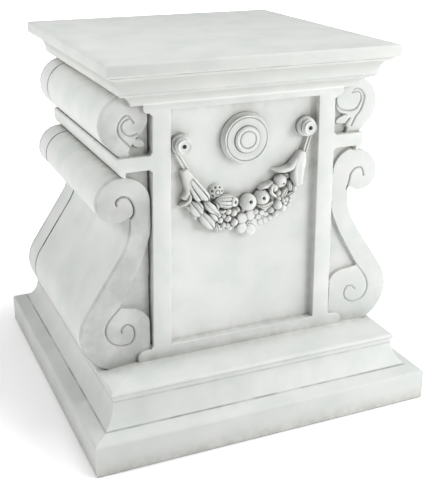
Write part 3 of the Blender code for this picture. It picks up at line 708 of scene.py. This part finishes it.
LEAVES = [
    (((-61, 266, 3, 134), (-65.5, 269.6, 8, 136.5), (-70, 273, 7.5, 136.5), (-74.5, 275, 2, 134)), -0.2, 0),
    (((-70, 281.5, 3, 135), (-66.5, 276, 11, 138.5), (-62.5, 270.4, 14.5, 140), (-58.8, 265.4, 11, 140),
      (-55.5, 261, 2, 136)), 0.5, 0.05),
    (((-62.5, 281.5, 3, 137), (-60.5, 277, 6, 140), (-57.5, 272.5, 6, 140.5), (-55.5, 268.5, 2, 138)),
     0.3, 0),
    (((-64.5, 266.5, 3, 134), (-63.4, 261, 5, 136), (-62, 255.5, 1.5, 133)), -0.2, 0),
    (((-53, 279.5, 3, 139), (-48.5, 274, 9, 142), (-43, 268.5, 9.5, 142), (-37.5, 263, 6, 141),
      (-33, 258, 2, 138)), 0.45, -0.15),
    (((-57, 268, 3, 136), (-54, 261, 10, 140), (-49, 254.4, 13.5, 141.5), (-44.5, 248.4, 10, 141),
      (-40.6, 242.6, 2, 137)), 0.5, 0.1),
    (((-47, 264.5, 2, 140), (-43.4, 261, 4.6, 142.5), (-40, 257.5, 4.6, 142.5), (-37.5, 253.6, 2, 140)),
     0, 0),
    (((-38, 250.5, 2, 136), (-36.6, 245.6, 6.5, 139), (-35.8, 240.5, 5, 138.5), (-35.4, 236.6, 1.5, 135)),
     0.4, 0.1),
    (((-33, 247.5, 2, 136), (-32, 242.4, 3.8, 138), (-31.5, 237.5, 1.5, 135)), 0, 0),
    (((17.5, 284, 1.5, 137), (22, 286.8, 3.8, 140), (28.5, 288, 4.2, 140), (35.5, 292, 2, 138)), 0, 0),
    (((35, 290, 2, 142), (31.6, 286.4, 3.2, 143.5), (31, 280.8, 3.8, 143.5), (35, 276.6, 3.4, 143),
      (39.4, 273.4, 2, 141)), 0, 0),
    (((54.5, 282, 1.5, 138), (50.5, 277, 6.5, 140.5), (46.6, 270.5, 2.5, 138)), 0.3, 0),
    (((55, 268.4, 3, 132), (62, 272, 5.5, 133.5), (71, 275.6, 1.5, 130.5)), 0.3, 0),
    (((14.5, 266, 1.5, 139), (21, 263.6, 5, 142), (29.5, 264.8, 5, 141.5), (36, 269.6, 2, 139)), 0.3, 0),
    (((-38.5, 275.5, 1.5, 140), (-37.3, 271.6, 3.2, 142), (-36.5, 267.5, 1.5, 140)), 0, 0),
    (((-36, 265.4, 1.5, 138), (-31, 263.8, 3.6, 141), (-26, 265.4, 2, 139)), 0, 0),
]
GARLAND_BED = ((-66, 277, 6, 130), (-50, 263, 20, 132), (-30, 252, 22, 133.5), (-2, 250, 26, 134),
               (24, 255, 24, 133.5), (44, 266, 24, 133), (62, 282, 12, 131))

# %% Fruit, blossoms and berries
APPLES = [(3.6, 270.4, 10.4, -0.02, 0.28), (21.8, 274, 9.8, -0.12, 0.12), (46, 291, 8.2, 0.25, -0.3),
          (54.6, 296, 4.2, 0, 0)]
MELON = (-25, 274.8, 13.6, 8.6)
DAISY = (-35.8, 287, 10.2)
BERRIES = [
    (-22.5, 253.8, 4.5), (-14.6, 248, 4.9), (-22.6, 244.8, 3.9), (-20.4, 241.2, 3.9), (-28.4, 246, 4),
    (-32.6, 253, 4.3), (-38.6, 251.6, 2.8), (-34.2, 259, 3.8), (-22.2, 262.4, 4.4), (-15.2, 260, 4.7),
    (-27.8, 257.2, 3.8), (-9.4, 262.4, 3.4), (31.4, 247.4, 4.4), (39.2, 251.4, 4.6),
    (33.6, 256.8, 4.6), (41.6, 262.4, 6), (49, 257, 4.8),
    (26, 259.6, 4), (13.4, 257.4, 4.2), (43.6, 276.6, 4), (43.6, 269.6, 4), (36.8, 284, 5.2),
    (50.2, 266.4, 3.8), (57.6, 266, 3), (8.4, 260.6, 3.4), (-1.6, 261.2, 3),
]
BLOSSOMS = [(3.4, 245, 16.4, 5, -2), (22, 249.4, 9.4, 5, 26), (55.6, 264, 6.4, 4, 20)]


def ball(bm, x, z, depth, size, turn=0, sides=22, rings=16):
    """An egg of half-sizes (along, toward the viewer, across) turned in X and Z by degrees."""
    made = bmesh.ops.create_uvsphere(bm, u_segments=sides, v_segments=rings, radius=1)["verts"]
    along_way, toward, across = size
    bmesh.ops.scale(bm, verts=made, vec=(across, toward, along_way))
    spin = Matrix.Rotation(math.radians(90 - turn), 3, "Y")
    bmesh.ops.rotate(bm, verts=made, cent=(0, 0, 0), matrix=spin)
    bmesh.ops.translate(bm, verts=made, vec=(x, -depth, z))
    return made


def apple(bm, x, z, radius, lean_x, lean_z):
    """A round fruit with a dimple that holds a small open calyx."""
    made = bmesh.ops.create_uvsphere(bm, u_segments=40, v_segments=48, radius=radius)["verts"]
    for vert in made:
        off = vert.co.xy.length / radius
        if vert.co.z > 0:
            vert.co.z += radius * (0.06 * math.exp(-(((off - 0.28) / 0.1) ** 2))
                                   - 0.6 * math.exp(-((off / 0.15) ** 2)))
    turn = (Matrix.Rotation(lean_x, 3, "Z") @ Matrix.Rotation(-lean_z, 3, "X")
            @ Matrix.Rotation(math.radians(90), 3, "X"))
    bmesh.ops.rotate(bm, verts=made, cent=(0, 0, 0), matrix=turn)
    bmesh.ops.translate(bm, verts=made, vec=(x, -PANEL_DEPTH - 0.6 * radius, z))


def melon(bm, x, z, length, girth):
    """A ribbed fruit on its side, with a ringed crown at the right."""
    made = ball(bm, 0, 0, 0, (length, girth, girth), 0, 96, 32)
    for vert in made:
        around = math.atan2(vert.co.z, vert.co.y)
        inside = 1 - (vert.co.x / length) ** 2
        press = 1 - 0.12 * inside * math.exp(-((math.sin(around * 5.5) / 0.4) ** 2))
        vert.co.y *= press
        vert.co.z *= press
    bmesh.ops.rotate(bm, verts=made, cent=(0, 0, 0), matrix=Matrix.Rotation(0.12, 3, "Y"))
    bmesh.ops.translate(bm, verts=made, vec=(x, -PANEL_DEPTH - 6, z))
    crown = ball(bm, 0, 0, 0, (5.4, 4, 5.8), 0, 32, 24)
    for vert in crown:
        off = math.hypot(vert.co.x, vert.co.z)
        if vert.co.y < 0:
            vert.co.y += 4.4 * math.exp(-((off / 2) ** 2))
    bmesh.ops.rotate(bm, verts=crown, cent=(0, 0, 0), matrix=Matrix.Rotation(0.3, 3, "Z"))
    bmesh.ops.translate(bm, verts=crown, vec=(x + length * 0.66, -PANEL_DEPTH - 11, z - 0.4))


def daisy(bm, x, z, reach):
    """A low dome with a ring of bored dots and a small heart."""
    made = ball(bm, x, z, PANEL_DEPTH - 1, (reach, 9.5, reach), 0, 72, 48)
    for vert in made:
        dx, dz = vert.co.x - x, vert.co.z - z
        off, around = math.hypot(dx, dz), math.atan2(dz, dx)
        if vert.co.y < -PANEL_DEPTH:
            ring = math.exp(-(((off - reach * 0.62) / 1.1) ** 2))
            vert.co.y += 3.2 * ring * abs(math.cos(around * 3.5 - 0.4)) ** 3
            vert.co.y += 1.4 * math.exp(-(((off - reach * 0.26) / 0.7) ** 2))


def blossom(bm, x, z, reach, petals, turn):
    """Round dished petals that touch, about a small bored eye."""
    for i in range(petals):
        angle = math.radians(turn + 360 / petals * i)
        out = Vector((math.cos(angle), math.sin(angle)))
        made = bmesh.ops.create_uvsphere(bm, u_segments=36, v_segments=28, radius=1)["verts"]
        for vert in made:
            toward = vert.co.z
            off = vert.co.xy.length
            vert.co.z = math.copysign(abs(toward) ** 0.45, toward)
            if toward > 0:
                vert.co.z -= 0.12 * math.exp(-((off / 0.45) ** 2))
        bmesh.ops.scale(bm, verts=made, vec=(reach * 0.46, reach * 0.42, 4.4))
        bmesh.ops.rotate(bm, verts=made, cent=(0, 0, 0), matrix=Matrix.Rotation(angle, 3, "Z"))
        bmesh.ops.rotate(bm, verts=made, cent=(0, 0, 0), matrix=Matrix.Rotation(math.radians(90), 3, "X"))
        centre = Vector((x, z)) + out * reach * 0.58
        bmesh.ops.translate(bm, verts=made, vec=(centre.x, -PANEL_DEPTH - 5 - 0.4 * i, centre.y))
    made = ball(bm, x, z, PANEL_DEPTH + 8, (reach * 0.17, 4, reach * 0.17), 0, 20, 16)
    for vert in made:
        off = math.hypot(vert.co.x - x, vert.co.z - z)
        if vert.co.y < -PANEL_DEPTH - 8:
            vert.co.y += 3 * math.exp(-((off / 1.1) ** 2))


# %% Rods from the knobs to the bell-flowers
RODS = {-1: ((-85.2, 340), (-71.8, 315.5)), 1: ((84.6, 343), (77.6, 321))}
ROD_SPREAD, ROD_DEPTH = 1.9, 132.5


def rod(bm, top, foot, shift, radius=1.35):
    """A thin bar between two points of the front, moved aside by shift."""
    a, b = Vector(top), Vector(foot)
    way = b - a
    across = Vector((-way.y, way.x)).normalized() * shift
    made = bmesh.ops.create_cone(bm, cap_ends=True, segments=14, radius1=radius, radius2=radius,
                                 depth=way.length)["verts"]
    tilt = math.atan2(way.x, way.y)
    bmesh.ops.rotate(bm, verts=made, cent=(0, 0, 0), matrix=Matrix.Rotation(tilt, 3, "Y"))
    middle = (a + b) / 2 + across
    bmesh.ops.translate(bm, verts=made, vec=(middle.x, -ROD_DEPTH, middle.y))


# %% Fuse the two bell-flowers, each with its rods
GARLAND_VOXEL = 0.55
# Painted shade in the crevices of the garland: the bend it starts at, the bend it is full at, and how dark
HOLLOWS = (0.02, 0.12, 1.0)
for side, petals in ((-1, LEFT_FLOWER), (1, RIGHT_FLOWER)):
    bm = bmesh.new()
    for row in petals:
        blade(bm, *row)
    for shift in (-ROD_SPREAD, ROD_SPREAD):
        rod(bm, *RODS[side], shift)
    word = "left" if side < 0 else "right"
    flower = remeshed(to_object(word + "_bell_flower", bm), GARLAND_VOXEL, 1)
    finished(shade_hollows(flower, *HOLLOWS), 60)

# %% Heap up the fruit and fuse it
bm = bmesh.new()
blade(bm, GARLAND_BED, thick=6)
for stations, crease, crease_at in LEAVES:
    blade(bm, stations, crease, crease_at)
for row in APPLES:
    apple(bm, *row)
melon(bm, *MELON)
daisy(bm, *DAISY)
for x, z, radius in BERRIES:
    ball(bm, x, z, PANEL_DEPTH + 1.3 * radius, (radius, 1.3 * radius, radius))
for row in BLOSSOMS:
    blossom(bm, *row)
heap = remeshed(to_object("fruit_garland", bm), GARLAND_VOXEL, 1)
finished(shade_hollows(heap, *HOLLOWS), 60)


# %% [markdown]
# ## Aged white cast stone
# The piece is resin stone, cast in a mould and matt. Its colour is painted darker, as painted shade, where
# shade falls: in carved lines, under lips and round the fruit. Ambient occlusion finds most of those
# places. Wide ones give patchy painted shade in wide hollows and the soft grey of corners, a narrow one the
# dark lines, and one that looks inward finds the convex edges, painted paler as wear and as painted
# highlight. The painted shade of each carved line, and the even painted shade under the cap, were kept as
# attributes of the mesh points.

# %% Colour and node helpers
def linear(hex_colour):
    """Linear RGBA from an sRGB hex value."""
    channels = [int(hex_colour[i:i + 2], 16) / 255 for i in (0, 2, 4)]
    return tuple(c / 12.92 if c <= 0.04045 else ((c + 0.055) / 1.055) ** 2.4 for c in channels) + (1,)


def add(tree, kind, settings=(), links=()):
    """Add a node, set its properties and inputs, and link what feeds it."""
    node = tree.nodes.new(kind)
    for key, value in dict(settings).items():
        if isinstance(key, str) and hasattr(node, key):
            setattr(node, key, value)
        else:
            node.inputs[key].default_value = value
    for key, source in dict(links).items():
        tree.links.new(source, node.inputs[key])
    return node


STONE_PALE = "D5D6D4"
STONE_COOL = "CBCFCC"
# The worn colour is partly wear and partly painted highlight on convex edges; the greys below it are painted
# shade
STONE_WORN_HIGHLIGHT = "E2E3E1"
WIDE_SHADE_GREY = "A39E96"
SHADE_GREY = "96978F"
SHADE_DARK = "33332F"
# Reach of each occlusion: wide and corner painted shade, dark painted lines, and the edges that are painted
# paler
MM_RANGE = {"wide_shade": 24, "corner": 5, "line": 2.6, "edge": 1.6}
MOTTLE_MM, PATCH_MM, SHADE_BREAKUP_MM, DENT_MM, GRAIN_MM = 45, 11, 30, 14, 1.6


def cast_stone():
    """Resin stone: matt, faintly mottled, with painted shade in the hollows, paler worn and highlit edges
    and a fine cast grain.
    """
    material = bpy.data.materials.new("aged white cast stone")
    material.use_nodes = True
    tree = material.node_tree
    shader = tree.nodes["Principled BSDF"]
    place = add(tree, "ShaderNodeTexCoord").outputs["Object"]

    def noise(size_mm, detail):
        return add(tree, "ShaderNodeTexNoise", {"Scale": 1 / (size_mm * MM), "Detail": detail},
                   {"Vector": place}).outputs["Fac"]

    def ramp(source, start, end, low, high):
        return add(tree, "ShaderNodeMapRange", {"From Min": start, "From Max": end, "To Min": low,
                                                "To Max": high}, {"Value": source}).outputs["Result"]

    def hollow(reach, start, end, low, high, inside=False):
        node = add(tree, "ShaderNodeAmbientOcclusion", {"samples": 8, "inside": inside,
                                                        "Distance": MM_RANGE[reach] * MM})
        return ramp(node.outputs["AO"], start, end, low, high)

    def times(a, b):
        return add(tree, "ShaderNodeMath", {"operation": "MULTIPLY"}, {0: a, 1: b}).outputs[0]

    def over(under, colour, amount):
        return add(tree, "ShaderNodeMix", {"data_type": "RGBA", 7: linear(colour)},
                   {0: amount, 6: under}).outputs[2]

    mottled = add(tree, "ShaderNodeMix", {"data_type": "RGBA", 6: linear(STONE_PALE),
                                          7: linear(STONE_COOL)},
                  {0: ramp(noise(MOTTLE_MM, 4.0), 0.35, 0.65, 0.0, 1.0)}).outputs[2]
    patches = ramp(noise(PATCH_MM, 3.0), 0.35, 0.65, 0.3, 1.0)
    # painted shade: patchy warm grey in wide hollows, found by occlusion
    wide_shaded = over(mottled, WIDE_SHADE_GREY, times(hollow("wide_shade", 0.45, 0.95, 0.6, 0.0), patches))
    # painted shade: soft grey in corners and recesses, found by occlusion and broken into patches
    corner_shaded = over(wide_shaded, SHADE_GREY, times(hollow("corner", 0.3, 0.75, 0.5, 0.0), patches))
    # painted shade laid evenly on the cove, the cap's rim and the base, from an attribute
    underside_shade = add(tree, "ShaderNodeAttribute", {"attribute_name": "underside_shade"}).outputs["Fac"]
    under_shaded = over(corner_shaded, SHADE_GREY, underside_shade)
    # paler convex edges: partly rubbed wear, partly painted highlight
    worn_and_highlit = over(under_shaded, STONE_WORN_HIGHLIGHT, hollow("edge", 0.55, 0.9, 0.7, 0.0, True))
    # painted shade: near-black lines in narrow creases, from occlusion and from the attribute kept on the
    # mesh points
    carved = add(tree, "ShaderNodeAttribute", {"attribute_name": "crease_shade"}).outputs["Fac"]
    uneven = ramp(noise(SHADE_BREAKUP_MM, 5.0), 0.35, 0.6, 0.4, 1.1)
    deepest = add(tree, "ShaderNodeMath", {"operation": "MAXIMUM"},
                  {0: hollow("line", 0.28, 0.66, 0.8, 0.0), 1: times(carved, uneven)}).outputs[0]
    tree.links.new(over(worn_and_highlit, SHADE_DARK, deepest), shader.inputs["Base Color"])

    height = add(tree, "ShaderNodeMath", {"operation": "MULTIPLY_ADD", 1: 3.0},
                 {0: noise(DENT_MM, 2.0), 2: noise(GRAIN_MM, 2.0)}).outputs[0]
    bump = add(tree, "ShaderNodeBump", {"Strength": 0.12, "Distance": 0.25 * MM}, {"Height": height})
    tree.links.new(bump.outputs["Normal"], shader.inputs["Normal"])
    shader.inputs["Roughness"].default_value = 0.72
    shader.inputs["IOR"].default_value = 1.49
    return material


STONE = cast_stone()
for piece in PIECES:
    piece.data.materials.clear()
    piece.data.materials.append(STONE)
print("material", STONE.name, "on", len(PIECES), "pieces")


# %% [markdown]
# ## Studio
# As in a catalogue picture, the floor sweeps away into pure white: it glows by itself, weakly near the base
# and more further out, and a wide lamp far behind whitens the rest. Two soft lamps at the front right give
# the light its side, one overhead fills the top, and two weak ones keep the left sides from going dull.
# Soft light leaves the carving to its painted shade.

# %% Floor and world
GLOW_FROM, GLOW_TO, GLOW_NEAR, GLOW_FAR = 0.26, 0.46, 0.12, 0.7

bm = bmesh.new()
bmesh.ops.create_grid(bm, x_segments=1, y_segments=1, size=30)
floor = to_object("floor", bm, 1)
paint = bpy.data.materials.new("matt white sweep")
paint.use_nodes = True
sweep = paint.node_tree.nodes["Principled BSDF"]
sweep.inputs["Base Color"].default_value = (0.95, 0.95, 0.95, 1)
sweep.inputs["Roughness"].default_value = 1
sweep.inputs["Emission Color"].default_value = (1, 1, 1, 1)
spot = add(paint.node_tree, "ShaderNodeTexCoord").outputs["Object"]
far = add(paint.node_tree, "ShaderNodeVectorMath", {"operation": "LENGTH"}, {0: spot}).outputs["Value"]
glow = add(paint.node_tree, "ShaderNodeMapRange", {
    "interpolation_type": "SMOOTHSTEP", "From Min": GLOW_FROM, "From Max": GLOW_TO, "To Min": GLOW_NEAR,
    "To Max": GLOW_FAR}, {"Value": far}).outputs["Result"]
paint.node_tree.links.new(glow, sweep.inputs["Emission Strength"])
floor.data.materials.append(paint)
floor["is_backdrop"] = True

world = bpy.data.worlds.new("dim room")
world.use_nodes = True
world.node_tree.nodes["Background"].inputs["Color"].default_value = (1, 1, 1, 1)
world.node_tree.nodes["Background"].inputs["Strength"].default_value = 0.05
bpy.context.scene.world = world


# %% Lamps
def lamp(name, place, target, width, power, spread=180):
    """A square soft lamp that faces a target."""
    light = bpy.data.lights.new(name, "AREA")
    light.size = width
    light.energy = power
    light.spread = math.radians(spread)
    obj = bpy.data.objects.new(name, light)
    obj.location = place
    obj.rotation_mode = "QUATERNION"
    obj.rotation_quaternion = (Vector(target) - Vector(place)).to_track_quat("-Z", "Y")
    bpy.context.scene.collection.objects.link(obj)


MIDDLE = (0, -0.05, 0.22)
lamp("front right softbox", (1.05, -1.32, 0.79), MIDDLE, 0.75, 16)
lamp("right softbox", (1.5, -0.57, 1.09), MIDDLE, 0.9, 10.0)
lamp("overhead softbox", (0.3, -0.3, 1.6), MIDDLE, 0.8, 10.8)
lamp("left back softbox", (-0.86, 0.12, 0.8), MIDDLE, 0.5, 4.2)
lamp("left softbox", (-0.7, -0.2, 0.9), MIDDLE, 0.5, 1.6)
lamp("background lamp", (2.0, 5.2, 2.4), (2.0, 5.2, 0), 7, 160, 110)
bpy.context.scene.view_settings.view_transform = "Standard"

# %% Work out the bounds of the shown pieces
low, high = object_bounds()
